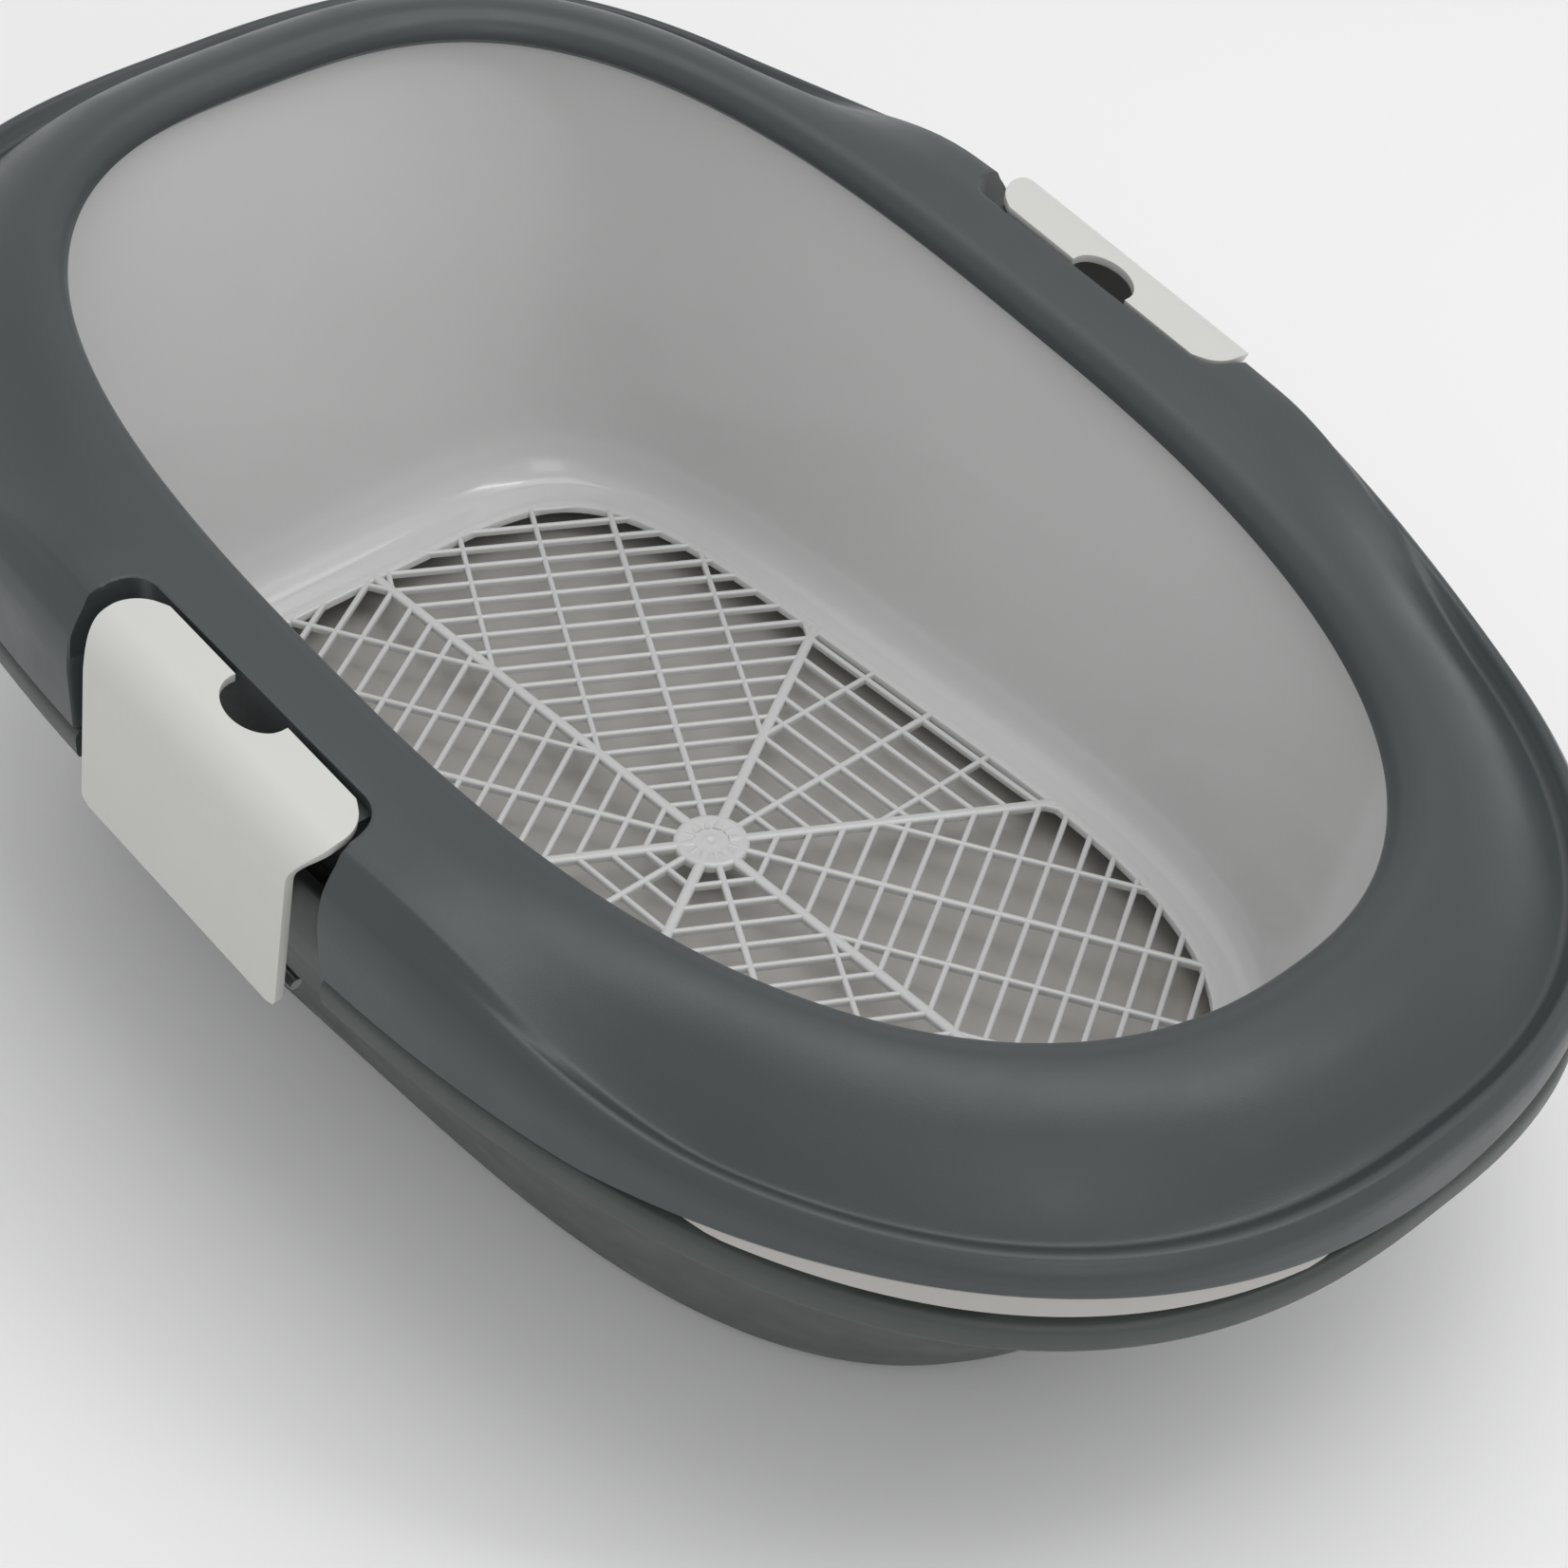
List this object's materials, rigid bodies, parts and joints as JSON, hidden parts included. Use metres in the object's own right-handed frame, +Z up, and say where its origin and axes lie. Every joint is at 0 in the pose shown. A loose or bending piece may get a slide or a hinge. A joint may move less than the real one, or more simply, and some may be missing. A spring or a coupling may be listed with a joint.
{
  "type": "sifting cat litter tray",
  "caption": "Oval sifting litter tray: a deep base tray with a solid tray and a slotted sieve tray nested in it, under a wedge-shaped rim held by hinged side clips.",
  "frame": {"origin": "on the ground, under the middle of the rim's outer edge", "axes": "+X towards the low entrance at the front, +Y to the left side, +Z up"},
  "size_m": [0.588, 0.396, 0.2205],
  "materials": {
    "slate_plastic": "satin injection-moulded polypropylene, dark slate grey with a faint green cast",
    "grey_plastic": "glossy injection-moulded polypropylene, light grey",
    "cream_plastic": "satin moulded plastic, warm off-white",
    "steel_pin": "plain drawn steel pin"
  },
  "bodies": {
    "base": {"base_tray": "slate_plastic", "hinge_pin_left": "steel_pin", "hinge_pin_right": "steel_pin"},
    "litter": {"litter_tray": "grey_plastic"},
    "sieve": {"sieve_tray": "grey_plastic", "sieve_grid": "grey_plastic"},
    "rim": {"rim": "slate_plastic"},
    "clip_left": {"clip_left": "cream_plastic"},
    "clip_right": {"clip_right": "cream_plastic"}
  },
  "joints": [
    {"name": "litter_tray_lift", "type": "slide", "parent": "base", "child": "litter", "axis": [0, 0, 1], "range_m": [0, 0.18]},
    {"name": "sieve_lift", "type": "slide", "parent": "litter", "child": "sieve", "axis": [0, 0, 1], "range_m": [0, 0.18]},
    {"name": "rim_lift", "type": "slide", "parent": "sieve", "child": "rim", "axis": [0, 0, 1], "range_m": [0, 0.15]},
    {"name": "clip_left_hinge", "type": "hinge", "parent": "base", "child": "clip_left", "pos_m": [-0.01666, 0.191, 0.12032], "axis": [-0.9873, 0, 0.1587], "range_deg": [0, 90]},
    {"name": "clip_right_hinge", "type": "hinge", "parent": "base", "child": "clip_right", "pos_m": [-0.01666, -0.191, 0.12032], "axis": [0.9873, 0, -0.1587], "range_deg": [0, 90]}
  ]
}
